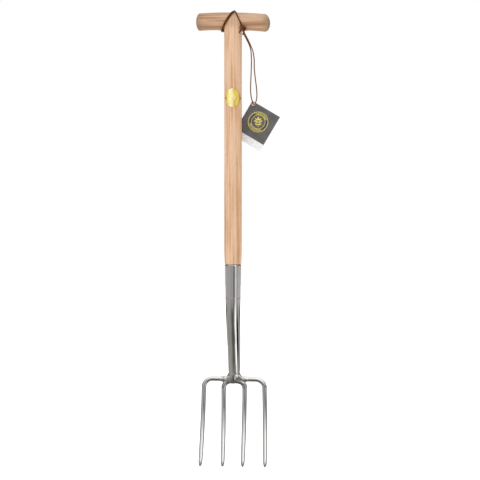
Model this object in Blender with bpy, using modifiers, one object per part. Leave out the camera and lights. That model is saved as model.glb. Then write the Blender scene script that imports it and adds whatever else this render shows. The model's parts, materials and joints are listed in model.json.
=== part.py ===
"""Digging fork: ash T-handle, stainless socket and four forged tines, with a swing tag on a leather thong.

Metres, +Z up along the shaft, the front face towards -Y. The origin is where the axis of the
T-grip crosses the axis of the shaft. The fork stands upright, tines down.
"""

import math

import bmesh
import bpy
from mathutils import Matrix, Vector

MM = 0.001
GAP = 0.3 * MM

# T-grip: a turned bar along X, bowed slightly upwards in the middle and a little lower on the right
GRIP_LEFT = -85.6 * MM
GRIP_RIGHT = 85.8 * MM
GRIP_DOME_LEFT = 8.4 * MM
GRIP_DOME_RIGHT = 12.0 * MM
GRIP_RADIUS = 20.1 * MM
GRIP_RADIUS_GROWTH = 0.002
GRIP_FALL = 0.028
GRIP_ARCH_RADIUS = 1031 * MM
GRIP_BOSS_DEPTH = 22.2 * MM
GRIP_BOSS_FLAT = 24 * MM
GRIP_BOSS_END = 37 * MM
GRIP_CORE_HALF = 11.0 * MM
GRIP_SIDES = 40

# Shaft: its top is forked, and its cheeks end in a pointed arch on the front and the back of the grip
SHAFT_RADIUS = 20.3 * MM
CHEEK_FACE_RADIUS = 20.2 * MM
CHEEK_SPRING_Z = -24.0 * MM
CHEEK_APEX_Z = 19.6 * MM
CHEEK_HALF_WIDTH = 20.8 * MM
SHAFT_FOOT_Z = -561.5 * MM
TENON_END_Z = -636.0 * MM
SHAFT_SIDES = 40

# Steel head
SOCKET_TOP_Z = SHAFT_FOOT_Z - GAP
SOCKET_END_Z = -640.0 * MM
SOCKET_TOP_RADIUS = 18.8 * MM
SOCKET_END_RADIUS = 17.6 * MM
SOCKET_WALL = 2.8 * MM
NECK_SET_BACK = 28.0 * MM
NECK_BEND_TOP_Z = -648.0 * MM
NECK_BEND_END_Z = -802.0 * MM
TINE_TIP_Z = -1027.0 * MM
TINE_CURVE_TOP_Z = -834.0 * MM
TINE_REACH = 41.0 * MM
BOW_AXIS_Z = -834.4 * MM
BOW_HALF_WIDTH = 24.6 * MM
BOW_TAPER = 1.4 * MM
BOW_BEND_RADIUS = 16.2 * MM
BOW_BAR_RADIUS = 5.5 * MM
CROSSBAR_Z = -829.4 * MM
CROSSBAR_FALL = 0.012
CROSSBAR_START_X = 31.0 * MM
CROSSBAR_RADIUS = 5.6 * MM
SHOULDER_X = 71.0 * MM
SHOULDER_BEND_RADIUS = 20.5 * MM
TINE_SPLAY = 4.0 * MM
TINE_SIDES = 16
RIVET_Z = -592.0 * MM

# Brass plate on the shaft
PLATE_Z = -178.6 * MM
PLATE_AZIMUTH = 5.5
PLATE_INNER_RADIUS = SHAFT_RADIUS + GAP
PLATE_FACE_RADIUS = 21.3 * MM
PLATE_RIM_RADIUS = 21.9 * MM
PLATE_HALF_WIDTH = 17.5 * MM
PLATE_HALF_HEIGHT = 21.5 * MM
PLATE_RIM_WIDTH = 2.4 * MM
PLATE_PIN_ANGLE = 50.0

# Leather thong and its knot
LACE_RADIUS = 1.3 * MM
KNOT_CENTRE = Vector((25.2, -17.9, -20.6)) * MM
KNOT_OUTWARD = Vector((0.25, -0.75, -0.60)).normalized()
KNOT_AHEAD = Vector((-0.35, 0.0, -0.94))
KNOT_OPENING = 0.36
KNOT_RING = 4.2 * MM
KNOT_COIL = 2.0 * MM

# Swing tag, turned clockwise by its angle when seen from the front
TAG_CORNER = Vector((43.0, 0.0, -182.1)) * MM
TAG_TURN = 30.8
TAG_SIDE = 74.9 * MM
TAG_BACK_LENGTH = 92.0 * MM
TAG_EYELET_INSET = 6.2 * MM
CARD_THICKNESS = 0.5 * MM
FRONT_CARD_Y = 20.9 * MM
BACK_CARD_Y = 21.7 * MM
EYELET_HOLE_RADIUS = 2.6 * MM
EYELET_BARREL_RADIUS = 3.1 * MM
EYELET_FLANGE_RADIUS = 4.8 * MM
EYELET_FLANGE = 0.4 * MM
WASHER_THICKNESS = 0.35 * MM
ROLLED_RADIUS = 4.0 * MM

ALONG_X = Vector((1, 0, 0))
ALONG_Y = Vector((0, 1, 0))
ALONG_Z = Vector((0, 0, 1))


# ---------------------------------------------------------------- scene and materials


def clear_scene():
    for old in list(bpy.data.objects):
        bpy.data.objects.remove(old, do_unlink=True)


def new_collection(name):
    collection = bpy.data.collections.new(name)
    bpy.context.scene.collection.children.link(collection)
    return collection


def material(name, colour, roughness, metallic):
    made = bpy.data.materials.new(name)
    made.use_nodes = True
    shader = made.node_tree.nodes["Principled BSDF"]
    shader.inputs["Base Color"].default_value = (*colour, 1.0)
    shader.inputs["Roughness"].default_value = roughness
    shader.inputs["Metallic"].default_value = metallic
    return made


# ---------------------------------------------------------------- shapes


def mesh_object(name, bm, look=None):
    """A part when it has a look, and otherwise a cutter."""
    bmesh.ops.recalc_face_normals(bm, faces=bm.faces)
    mesh = bpy.data.meshes.new(name)
    bm.to_mesh(mesh)
    bm.free()
    made = bpy.data.objects.new(name, mesh)
    place_object(made, look)
    return made


def place_object(made, look):
    if look is None:
        made.hide_render = True
        made.display_type = "WIRE"
        cutters.objects.link(made)
        return
    made.data.materials.append(look)
    parts.objects.link(made)
    if made.type == "MESH":
        made.data.shade_smooth()
        made.data.set_sharp_from_angle(angle=math.radians(35))


def power_ring(centre, across, up, half_across, half_up, half_down, power, sides):
    """Points of a superellipse. Power 2 is an ellipse, more is squarer, and 1 is a diamond."""
    points = []
    for step in range(sides):
        angle = math.tau * step / sides
        c = math.cos(angle)
        s = math.sin(angle)
        u = half_across * math.copysign(abs(c) ** (2 / power), c)
        v = (half_up if s > 0 else half_down) * math.copysign(abs(s) ** (2 / power), s)
        points.append(centre + across * u + up * v)
    return points


def skin(name, rings, look=None):
    """A closed solid through rings of points, with a flat cap on each end."""
    bm = bmesh.new()
    rows = [[bm.verts.new(point) for point in points] for points in rings]
    sides = len(rows[0])
    for row, following in zip(rows, rows[1:]):
        for i in range(sides):
            j = (i + 1) % sides
            bm.faces.new((row[i], row[j], following[j], following[i]))
    bm.faces.new(rows[0])
    bm.faces.new(rows[-1])
    return mesh_object(name, bm, look)


def bar(name, stations, look=None, extra=0.0, sides=TINE_SIDES):
    """A forged bar. A station is its centre, its half width, its half depth and its power."""
    rings = []
    for i, (centre, half_width, half_depth, power) in enumerate(stations):
        before = stations[max(i - 1, 0)][0]
        after = stations[min(i + 1, len(stations) - 1)][0]
        along = (after - before).normalized()
        front = (-ALONG_Y - along * along.dot(-ALONG_Y)).normalized()
        across = along.cross(front)
        depth = half_depth + extra
        if i == 0:
            centre = centre - along * extra
        if i == len(stations) - 1:
            centre = centre + along * extra
        rings.append(power_ring(centre, across, front, half_width + extra, depth, depth, power, sides))
    return skin(name, rings, look)


def turned(name, profile, look=None, steps=40, closed=False):
    """A shape turned about Z from (radius, z) points that run down its outer side."""
    mesh = bpy.data.meshes.new(name)
    edges = [(i, i + 1) for i in range(len(profile) - 1)]
    if closed:
        edges.append((len(profile) - 1, 0))
    mesh.from_pydata([(radius, 0, z) for radius, z in profile], edges, [])
    made = bpy.data.objects.new(name, mesh)
    turn = made.modifiers.new("turn", "SCREW")
    turn.axis = "Z"
    turn.steps = steps
    turn.render_steps = steps
    turn.use_merge_vertices = True
    turn.merge_threshold = 0.00001
    place_object(made, look)
    turn.use_smooth_shade = True
    return made


def prism(name, outline, along, low, high, look=None):
    """An outline of points in the plane across `along`, drawn out from low to high."""
    bm = bmesh.new()
    face = bm.faces.new([bm.verts.new(point + along * low) for point in outline])
    grown = bmesh.ops.extrude_face_region(bm, geom=[face])
    moved = [item for item in grown["geom"] if isinstance(item, bmesh.types.BMVert)]
    bmesh.ops.translate(bm, verts=moved, vec=along * (high - low))
    return mesh_object(name, bm, look)


def rod(name, start, end, radius, flatten=1.0, segments=32):
    """A round cutter from start to end. Flatten squeezes its width and leaves its height."""
    along = (end - start).normalized()
    sideways = along.cross(ALONG_Z).normalized()
    upwards = sideways.cross(along)
    frame = Matrix((sideways * flatten, upwards, along)).transposed().to_4x4()
    frame.translation = (start + end) / 2
    depth = (end - start).length
    bm = bmesh.new()
    bmesh.ops.create_cone(
        bm, cap_ends=True, segments=segments, radius1=radius, radius2=radius, depth=depth, matrix=frame
    )
    return mesh_object(name, bm)


def boolean(target, tool, operation="DIFFERENCE"):
    change = target.modifiers.new(operation.lower() + "_" + tool.name, "BOOLEAN")
    change.operation = operation
    change.solver = "EXACT"
    change.object = tool


def arc(centre_u, centre_v, radius, first, last, count):
    """(u, v) points on an arc, from one angle to another in degrees."""
    points = []
    for step in range(count + 1):
        angle = math.radians(first + (last - first) * step / count)
        points.append((centre_u + radius * math.cos(angle), centre_v + radius * math.sin(angle)))
    return points


def smooth_route(corners, spacing):
    """Evenly spaced points on a smooth curve through the corners."""
    padded = [corners[0] * 2 - corners[1], *corners, corners[-1] * 2 - corners[-2]]
    fine = []
    for a, b, c, d in zip(padded, padded[1:], padded[2:], padded[3:]):
        for step in range(20):
            t = step / 20
            bend = a * 2 - b * 5 + c * 4 - d
            twist = b * 3 - a - c * 3 + d
            fine.append((b * 2 + (c - a) * t + bend * t * t + twist * t**3) / 2)
    fine.append(corners[-1])
    return even_points(fine, spacing)


def even_points(fine, spacing):
    total = sum((b - a).length for a, b in zip(fine, fine[1:]))
    count = max(2, round(total / spacing))
    points = [fine[0]]
    walked = 0.0
    for a, b in zip(fine, fine[1:]):
        length = (b - a).length
        while len(points) < count and walked + length >= total * len(points) / count:
            points.append(a.lerp(b, (total * len(points) / count - walked) / length))
        walked += length
    points.append(fine[-1])
    return points


def tube(name, points, radius, look):
    curve = bpy.data.curves.new(name, "CURVE")
    curve.dimensions = "3D"
    curve.bevel_depth = radius
    curve.bevel_resolution = 2
    curve.use_fill_caps = True
    spline = curve.splines.new("POLY")
    spline.points.add(len(points) - 1)
    for target, point in zip(spline.points, points):
        target.co = (*point, 1.0)
    made = bpy.data.objects.new(name, curve)
    place_object(made, look)
    return made


def pivot(name, place):
    empty = bpy.data.objects.new(name, None)
    empty.location = place
    empty.empty_display_size = 0.01
    parts.objects.link(empty)
    return empty


def hang_on(made, empty, place):
    made.parent = empty
    made.matrix_parent_inverse = Matrix.Translation(place).inverted()


def ease(t):
    return (1 - math.cos(math.pi * t)) / 2


def between(stops, at):
    """Values read from rows of (place, value, ...) that run downwards or upwards, straight between rows."""
    for low, high in zip(stops, stops[1:]):
        if min(low[0], high[0]) <= at <= max(low[0], high[0]):
            t = (at - low[0]) / (high[0] - low[0])
            return [a + (b - a) * t for a, b in zip(low[1:], high[1:])]
    return list(stops[-1][1:]) if abs(at - stops[-1][0]) < abs(at - stops[0][0]) else list(stops[0][1:])


# ---------------------------------------------------------------- wooden handle

# Shaft sections below the cheeks' tips: z, half width, half depth and power, sizes in mm
SHAFT_HEAD = (
    (24.0, 20.8, 20.2, 8.0),
    (0.0, 20.8, 20.2, 8.0),
    (-10.0, 20.7, 20.3, 5.5),
    (-15.0, 20.6, 20.3, 4.0),
    (-20.0, 20.5, 20.3, 2.9),
    (-27.0, 20.4, 20.3, 2.4),
    (-36.0, 20.3, 20.3, 2.1),
    (-48.0, 20.3, 20.3, 2.0),
)
# The foot's turned profile: z and radius in mm, down to the tenon
SHAFT_FOOT = (
    (-174.0, 20.3),
    (-350.0, 20.3),
    (-524.0, 20.2),
    (-540.0, 19.9),
    (-555.0, 19.2),
    (-558.8, 18.9),
    (-560.4, 18.3),
    (-561.2, 17.4),
    (-561.5, 16.4),
    (-561.5, 15.4),
)
TENON_END_RADIUS = 14.3 * MM


def grip_centre(x):
    return Vector((x, 0, -x * x / (2 * GRIP_ARCH_RADIUS) - x * GRIP_FALL))


def grip_places():
    """(x, share of the full radius) down the bar, with an elliptical dome at each end."""
    dome = [math.radians(angle) for angle in (6, 20, 35, 50, 65, 78, 90)]
    left_end = GRIP_LEFT + GRIP_DOME_LEFT
    right_end = GRIP_RIGHT - GRIP_DOME_RIGHT
    places = [(left_end - GRIP_DOME_LEFT * math.cos(a), math.sin(a)) for a in dome]
    count = 26
    places += [(left_end + (right_end - left_end) * i / count, 1.0) for i in range(1, count)]
    places += [(right_end + GRIP_DOME_RIGHT * math.cos(a), math.sin(a)) for a in reversed(dome)]
    return places


def boss_depth(x):
    share = min(max((GRIP_BOSS_END - abs(x)) / (GRIP_BOSS_END - GRIP_BOSS_FLAT), 0.0), 1.0)
    return GRIP_RADIUS + (GRIP_BOSS_DEPTH - GRIP_RADIUS) * ease(share)


def cheek_outline(extra, bottom):
    """The pointed arch of the cheeks in the XZ plane, grown outwards by extra."""
    rise = CHEEK_APEX_Z - CHEEK_SPRING_Z
    radius = (CHEEK_HALF_WIDTH**2 + rise**2) / (2 * CHEEK_HALF_WIDTH)
    centre_x = CHEEK_HALF_WIDTH - radius
    top_angle = math.degrees(math.acos(-centre_x / (radius + extra)))
    right = arc(centre_x, CHEEK_SPRING_Z, radius + extra, 0, top_angle, 12)
    right[-1] = (0.0, right[-1][1])
    left = [(-x, z) for x, z in reversed(right[:-1])]
    side = CHEEK_HALF_WIDTH + extra
    return [Vector((x, 0, z)) for x, z in [(side, bottom), *right, *left, (-side, bottom)]]


def cheek_half_width(z):
    rise = CHEEK_APEX_Z - CHEEK_SPRING_Z
    radius = (CHEEK_HALF_WIDTH**2 + rise**2) / (2 * CHEEK_HALF_WIDTH)
    up = max(z - CHEEK_SPRING_Z, 0.0)
    return CHEEK_HALF_WIDTH - radius + math.sqrt(max(radius**2 - up**2, 0.0))


def make_grip(look):
    rings = []
    for x, share in grip_places():
        radius = (GRIP_RADIUS + GRIP_RADIUS_GROWTH * x) * share
        down = boss_depth(x) * share * radius / (GRIP_RADIUS * share)
        rings.append(power_ring(grip_centre(x), ALONG_Y, ALONG_Z, radius, radius, down, 2.0, GRIP_SIDES))
    grip = skin("t_grip", rings, look)
    outline = cheek_outline(GAP, -45 * MM)
    boolean(grip, prism("recess_front", outline, ALONG_Y, -40 * MM, -GRIP_CORE_HALF))
    boolean(grip, prism("recess_back", outline, ALONG_Y, GRIP_CORE_HALF, 40 * MM))
    return grip


def make_shaft(look):
    rings = []
    for z, half_width, half_depth, power in SHAFT_HEAD:
        centre = Vector((0, 0, z * MM))
        wide = half_width * MM
        deep = half_depth * MM
        rings.append(power_ring(centre, ALONG_X, ALONG_Y, wide, deep, deep, power, SHAFT_SIDES))
    for z, radius in (*SHAFT_FOOT, (TENON_END_Z / MM, TENON_END_RADIUS / MM)):
        centre = Vector((0, 0, z * MM))
        round_radius = radius * MM
        rings.append(
            power_ring(centre, ALONG_X, ALONG_Y, round_radius, round_radius, round_radius, 2.0, SHAFT_SIDES)
        )
    shaft = skin("shaft", rings, look)
    below = TENON_END_Z - 20 * MM
    boolean(shaft, prism("cheek_arch", cheek_outline(0, below), ALONG_Y, -40 * MM, 40 * MM), "INTERSECT")
    face = [Vector((0, y, z)) for y, z in arc(0, 0, CHEEK_FACE_RADIUS, 0, 180, 24)]
    wide = 21.5 * MM
    skirt = [(-wide, -9 * MM), (-wide, below), (wide, below), (wide, -9 * MM)]
    face += [Vector((0, y, z)) for y, z in skirt]
    boolean(shaft, prism("cheek_face", face, ALONG_X, -30 * MM, 30 * MM), "INTERSECT")
    boolean(shaft, prism("core_slot", slot_outline(), ALONG_X - ALONG_Z * GRIP_FALL, -30 * MM, 30 * MM))
    return shaft


def slot_outline():
    """The slot between the cheeks: its floor follows the underside of the grip's core."""
    half = GRIP_CORE_HALF + GAP
    floor = GRIP_BOSS_DEPTH + 3 * GAP
    points = [Vector((0, half, 32 * MM)), Vector((0, -half, 32 * MM))]
    for step in range(13):
        y = half * (step / 6 - 1)
        points.append(Vector((0, y, -floor * math.sqrt(1 - (y / (GRIP_RADIUS + GAP)) ** 2))))
    return points


# ---------------------------------------------------------------- steel head

# Neck and foot below the socket: z, half width, half depth and power, sizes in mm
NECK = (
    (-640.3, 17.6, 17.6, 2.0),
    (-648.0, 17.4, 17.4, 2.0),
    (-665.0, 17.0, 16.9, 2.0),
    (-690.0, 16.5, 16.2, 2.0),
    (-712.0, 16.0, 15.4, 2.0),
    (-736.0, 15.4, 14.5, 2.0),
    (-757.0, 14.8, 13.6, 2.0),
    (-778.0, 14.2, 12.6, 2.0),
    (-795.0, 13.7, 11.6, 2.0),
    (-808.0, 13.4, 10.6, 2.0),
    (-818.0, 12.8, 9.7, 2.0),
    (-825.0, 11.4, 8.8, 2.0),
    (-831.0, 8.8, 7.4, 2.0),
    (-835.0, 4.6, 5.0, 2.0),
)
FOOT_WEB = (
    (-800.0, 8.0, 5.6, 2.4),
    (-811.0, 12.6, 6.6, 2.4),
    (-817.0, 14.0, 6.6, 2.4),
    (-821.0, 16.2, 6.4, 2.4),
    (-824.0, 19.4, 6.2, 2.4),
    (-827.0, 22.4, 6.0, 2.4),
    (-831.0, 25.0, 5.7, 2.4),
    (-836.0, 26.4, 5.3, 2.4),
)
# Tine sections, counted down from the top of its curve to the tip: share, half width, half depth, power
TINE = (
    (0.00, 5.55, 5.50, 2.3),
    (0.40, 5.35, 5.30, 2.3),
    (0.70, 5.05, 5.00, 2.3),
    (0.86, 4.80, 4.70, 2.3),
    (0.92, 4.60, 4.40, 2.2),
    (0.955, 4.25, 3.90, 2.0),
    (0.98, 3.50, 2.90, 1.9),
    (0.993, 2.60, 2.00, 1.8),
    (1.00, 1.60, 1.20, 1.8),
)
TINE_SHARES = (
    *(0.0, 0.08, 0.16, 0.24, 0.32, 0.40, 0.48, 0.56, 0.64),
    *(0.72, 0.79, 0.86, 0.92, 0.955, 0.98, 0.993, 1.0),
)


def neck_y(z):
    share = (NECK_BEND_TOP_Z - z) / (NECK_BEND_TOP_Z - NECK_BEND_END_Z)
    return NECK_SET_BACK * ease(min(max(share, 0.0), 1.0))


def tine_y(z):
    share = max(TINE_CURVE_TOP_Z - z, 0.0) / (TINE_CURVE_TOP_Z - TINE_TIP_Z)
    return NECK_SET_BACK - TINE_REACH * share * share


def neck_stations(rows):
    stations = []
    for z, half_width, half_depth, power in rows:
        centre = Vector((0, neck_y(z * MM), z * MM))
        stations.append((centre, half_width * MM, half_depth * MM, power))
    return stations


def make_socket(look):
    inner_top = SOCKET_TOP_RADIUS - SOCKET_WALL
    inner_end = SOCKET_END_RADIUS - SOCKET_WALL
    lip = 1.2 * MM
    profile = [
        (SOCKET_TOP_RADIUS - lip, SOCKET_TOP_Z),
        (SOCKET_TOP_RADIUS - 0.2 * lip, SOCKET_TOP_Z - 0.7 * lip),
        (SOCKET_TOP_RADIUS, SOCKET_TOP_Z - 2.2 * lip),
        (SOCKET_TOP_RADIUS - 0.25 * MM, SOCKET_TOP_Z - 2.9 * lip),
        (SOCKET_END_RADIUS, SOCKET_END_Z),
        (inner_end, SOCKET_END_Z),
        (inner_top, SOCKET_TOP_Z),
    ]
    socket = turned("socket_tube", profile, look, closed=True)
    return socket


def bow_stations(extra_length=0.0):
    """Both inner tines: up the left one, over the bow and down the right one."""
    half = BOW_HALF_WIDTH
    top = BOW_AXIS_Z - BOW_BEND_RADIUS
    right = []
    for share in TINE_SHARES:
        z = top + (TINE_TIP_Z - extra_length - top) * share
        x = half - BOW_TAPER * share
        half_width, half_depth, power = between(TINE, share)
        right.append((Vector((x, tine_y(z), z)), half_width * MM, half_depth * MM, power))
    corner = []
    for x, z in arc(half - BOW_BEND_RADIUS, top, BOW_BEND_RADIUS, 90, 0, 8)[:-1]:
        radius = BOW_BAR_RADIUS
        corner.append((Vector((x, tine_y(z), z)), radius, radius, 2.3))
    half_bow = corner + right
    mirrored = [(Vector((-c.x, c.y, c.z)), w, d, p) for c, w, d, p in reversed(half_bow)]
    return mirrored + half_bow


def outer_stations(turn):
    """An outer tine: out along the crossbar, round the shoulder and down to the tip. Turn is 1 on the right."""
    top = CROSSBAR_Z - SHOULDER_BEND_RADIUS
    bend_x = SHOULDER_X - SHOULDER_BEND_RADIUS
    line = [(CROSSBAR_START_X, CROSSBAR_Z), (CROSSBAR_START_X + 9 * MM, CROSSBAR_Z)]
    line += arc(bend_x, top, SHOULDER_BEND_RADIUS, 90, 0, 9)[:-1]
    radius = CROSSBAR_RADIUS
    stations = [(Vector((x, tine_y(z), z)), radius, radius, 2.3) for x, z in line]
    for share in TINE_SHARES:
        z = top + (TINE_TIP_Z - top) * share
        x = SHOULDER_X + TINE_SPLAY * share
        half_width, half_depth, power = between(TINE, share)
        stations.append((Vector((x, tine_y(z), z)), half_width * MM, half_depth * MM, power))
    placed = []
    for centre, half_width, half_depth, power in stations:
        drop = CROSSBAR_FALL * turn * min(centre.x, SHOULDER_X)
        level = (TINE_TIP_Z - centre.z) / (TINE_TIP_Z - CROSSBAR_Z)
        place = Vector((turn * centre.x, centre.y, centre.z - drop * level))
        placed.append((place, half_width, half_depth, power))
    return placed


def make_head(look):
    bow_clearance = bar("bow_clearance", bow_stations(extra_length=2 * MM), extra=GAP)
    bar("inner_tine_bow", bow_stations(), look)
    neck = bar("neck_forging", neck_stations(NECK), look, sides=32)
    boolean(neck, bar("foot_web", neck_stations(FOOT_WEB), sides=32), "UNION")
    boolean(neck, bow_clearance)
    neck_clearance = bar("neck_clearance", neck_stations(NECK), extra=GAP, sides=32)
    foot_clearance = bar("foot_clearance", neck_stations(FOOT_WEB), extra=GAP, sides=32)
    for side, turn in (("left", -1), ("right", 1)):
        bar("outer_tine_" + side, outer_stations(turn), look)
        weld = bar("weld_" + side, weld_stations(turn), look, sides=20)
        for clearance in (bow_clearance, neck_clearance, foot_clearance):
            boolean(weld, clearance)


def weld_stations(turn):
    """A swelling round the inner end of a crossbar, up against the bow and the foot."""
    rows = ((20.0, 4.8), (22.0, 5.9), (24.5, 6.5), (27.5, 6.5), (29.5, 6.2), (30.7, 5.9))
    y = tine_y(CROSSBAR_Z)
    stations = []
    for x, radius in rows:
        place = Vector((turn * x * MM, y, CROSSBAR_Z - CROSSBAR_FALL * turn * x * MM))
        stations.append((place, radius * MM, radius * MM, 2.0))
    return stations


def dome_pin(name, head_radius, head_height, shank_radius, shank_length, look, steps=20):
    """A round-headed pin along Z. Its head's flat underside is at z = 0."""
    profile = [(0.0, head_height)]
    for angle in (70, 50, 30, 10):
        turn = math.radians(angle)
        profile.append((head_radius * math.cos(turn), head_height * math.sin(turn)))
    profile += [(head_radius, 0.0), (shank_radius, 0.0), (shank_radius, -shank_length), (0.0, -shank_length)]
    return turned(name, profile, look, steps=steps)


def point_pin(pin, place, outward):
    pin.location = place
    pin.rotation_mode = "QUATERNION"
    pin.rotation_quaternion = outward.to_track_quat("Z", "Y")


def make_rivet(look, socket, shaft):
    share = (SOCKET_TOP_Z - RIVET_Z) / (SOCKET_TOP_Z - SOCKET_END_Z)
    surface = SOCKET_TOP_RADIUS + (SOCKET_END_RADIUS - SOCKET_TOP_RADIUS) * share
    rivet = dome_pin("socket_rivet", 3.8 * MM, 1.5 * MM, 1.8 * MM, 11 * MM, look)
    point_pin(rivet, Vector((0, surface + 0.2 * MM, RIVET_Z)), ALONG_Y)
    hole_start = Vector((0, surface - 11.5 * MM, RIVET_Z))
    hole = rod("rivet_hole", hole_start, Vector((0, 30 * MM, RIVET_Z)), 2.1 * MM, segments=20)
    boolean(socket, hole)
    boolean(shaft, hole)


# ---------------------------------------------------------------- brass plate


def outward_at(azimuth):
    """A level direction, counted in degrees from the front towards +X."""
    turn = math.radians(azimuth)
    return Vector((math.sin(turn), -math.cos(turn), 0))


def shell(name, inner, outer, half_height, look=None):
    profile = [
        (outer, PLATE_Z + half_height),
        (outer, PLATE_Z - half_height),
        (inner, PLATE_Z - half_height),
        (inner, PLATE_Z + half_height),
    ]
    return turned(name, profile, look, steps=120, closed=True)


def make_plate(brass, steel, shaft):
    outward = outward_at(PLATE_AZIMUTH)
    centre = Vector((0, 0, PLATE_Z))
    near = centre + outward * 6 * MM
    far = centre + outward * 40 * MM
    plate = shell("brass_plate", PLATE_INNER_RADIUS, PLATE_RIM_RADIUS, 30 * MM, brass)
    squeeze = PLATE_HALF_WIDTH / PLATE_HALF_HEIGHT
    edge = rod("plate_edge", near, far, PLATE_HALF_HEIGHT, squeeze, segments=56)
    boolean(plate, edge, "INTERSECT")
    field = shell("plate_field", PLATE_FACE_RADIUS, 30 * MM, 28 * MM)
    inner_height = PLATE_HALF_HEIGHT - PLATE_RIM_WIDTH
    inner_squeeze = (PLATE_HALF_WIDTH - PLATE_RIM_WIDTH * 0.75) / inner_height
    boolean(field, rod("field_edge", near, far, inner_height, inner_squeeze, segments=56), "INTERSECT")
    boolean(plate, field)
    for side, turn in (("left", -PLATE_PIN_ANGLE), ("right", PLATE_PIN_ANGLE)):
        direction = outward_at(PLATE_AZIMUTH + turn)
        pin = dome_pin("plate_pin_" + side, 1.8 * MM, 0.9 * MM, 0.7 * MM, 8 * MM, steel, steps=14)
        point_pin(pin, centre + direction * (PLATE_RIM_RADIUS + 0.2 * MM), direction)
        start = centre + direction * 13 * MM
        hole = rod("pin_hole_" + side, start, centre + direction * 30 * MM, 1.0 * MM, segments=14)
        boolean(plate, hole)
        boolean(shaft, hole)


# ---------------------------------------------------------------- leather thong

# Where the thong crosses the top or the bottom of the grip: turn in degrees from the top over the front, x in mm
WRAP_LEGS = (
    (180, 25.2),
    (360, -0.3),
    (540, -26.3),
    (720, 3.0),
    (900, -23.0),
    (1080, 6.3),
    (1260, 27.0),
)
WRAP_START = 160
WRAP_END = 1199
# Where it climbs over another strand: middle turn and half length in degrees
WRAP_OVERS = ((698, 18), (1042, 16))
WRAP_OVER_RAMP = 26
WRAP_CLEARANCE = 0.45 * MM


def wrap_x(turn):
    if turn <= WRAP_LEGS[0][0]:
        return WRAP_LEGS[0][1] * MM
    for (low, x_low), (high, x_high) in zip(WRAP_LEGS, WRAP_LEGS[1:]):
        if turn <= high:
            return (x_low + (x_high - x_low) * ease((turn - low) / (high - low))) * MM
    return WRAP_LEGS[-1][1] * MM


def wrap_lift(turn):
    lift = 0.0
    for middle, half in WRAP_OVERS:
        away = abs(turn - middle) - half
        lift = max(lift, ease(min(max(1 - away / WRAP_OVER_RAMP, 0.0), 1.0)))
    return lift * (2 * LACE_RADIUS + GAP)


def clear_of_shaft(point):
    """The point, moved out of the shaft's head until a strand centred on it is clear."""
    clearance = LACE_RADIUS + WRAP_CLEARANCE
    if point.z > 0 or abs(point.x) > cheek_half_width(point.z) + clearance:
        return point
    wide, deep, power = between(SHAFT_HEAD, point.z / MM)
    for _ in range(6):
        u = abs(point.x) / (wide * MM)
        v = abs(point.y) / (deep * MM)
        level = (u**power + v**power) ** (1 / power)
        short = 1 + clearance / SHAFT_RADIUS - level
        if short <= 0:
            return point
        slope = Vector((math.copysign(u ** (power - 1), point.x), math.copysign(v ** (power - 1), point.y), 0))
        point = point + slope.normalized() * short * SHAFT_RADIUS
    return point


def wrap_point(turn):
    angle = math.radians(turn)
    c = math.cos(angle)
    s = math.sin(angle)
    x = wrap_x(turn)
    low = boss_depth(x) + 0.2 * MM if c < 0 else CHEEK_FACE_RADIUS
    surface = 1 / math.sqrt((s / CHEEK_FACE_RADIUS) ** 2 + (c / low) ** 2)
    reach = surface + LACE_RADIUS + WRAP_CLEARANCE + wrap_lift(turn)
    drop = grip_centre(x).z
    return clear_of_shaft(Vector((x, -reach * s, reach * c + drop)))


def make_wrap(look):
    fine = [wrap_point(WRAP_START + step) for step in range(0, WRAP_END - WRAP_START + 1, 3)]
    for _ in range(6):
        middle = [(a + b * 2 + c) / 4 for a, b, c in zip(fine, fine[1:], fine[2:])]
        fine = [fine[0], *[clear_of_shaft(point) for point in middle], fine[-1]]
    tube("thong_wrap", even_points(fine, 4.2 * MM), LACE_RADIUS, look)


def make_knot(look):
    """A trefoil of thong whose two ends come out as short tails."""
    ahead = (KNOT_AHEAD - KNOT_OUTWARD * KNOT_AHEAD.dot(KNOT_OUTWARD)).normalized()
    sideways = KNOT_OUTWARD.cross(ahead)
    count = 44
    coil = []
    for step in range(count + 1):
        t = KNOT_OPENING + (math.tau - 2 * KNOT_OPENING) * step / count
        out = KNOT_RING + KNOT_COIL * math.cos(3 * t)
        across = Vector((out * math.cos(2 * t), out * math.sin(2 * t), KNOT_COIL * math.sin(3 * t)))
        coil.append(KNOT_CENTRE + ahead * across.x + sideways * across.y + KNOT_OUTWARD * across.z)
    first_tail = [coil[0] + Vector(row) * MM for row in KNOT_FIRST_TAIL]
    second_tail = [coil[-1] + Vector(row) * MM for row in KNOT_SECOND_TAIL]
    corners = [*reversed(first_tail), *coil, *second_tail]
    tube("thong_knot", smooth_route(corners, 2.2 * MM), LACE_RADIUS, look)


# The tails, in mm from the ends of the trefoil
KNOT_FIRST_TAIL = ((-0.6, -0.8, -3.0), (-1.4, -1.0, -6.0), (-1.8, -0.8, -9.0))
KNOT_SECOND_TAIL = ((-0.6, 0.2, -3.0), (-2.2, -0.2, -5.6), (-4.4, -1.2, -7.6))


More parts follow.
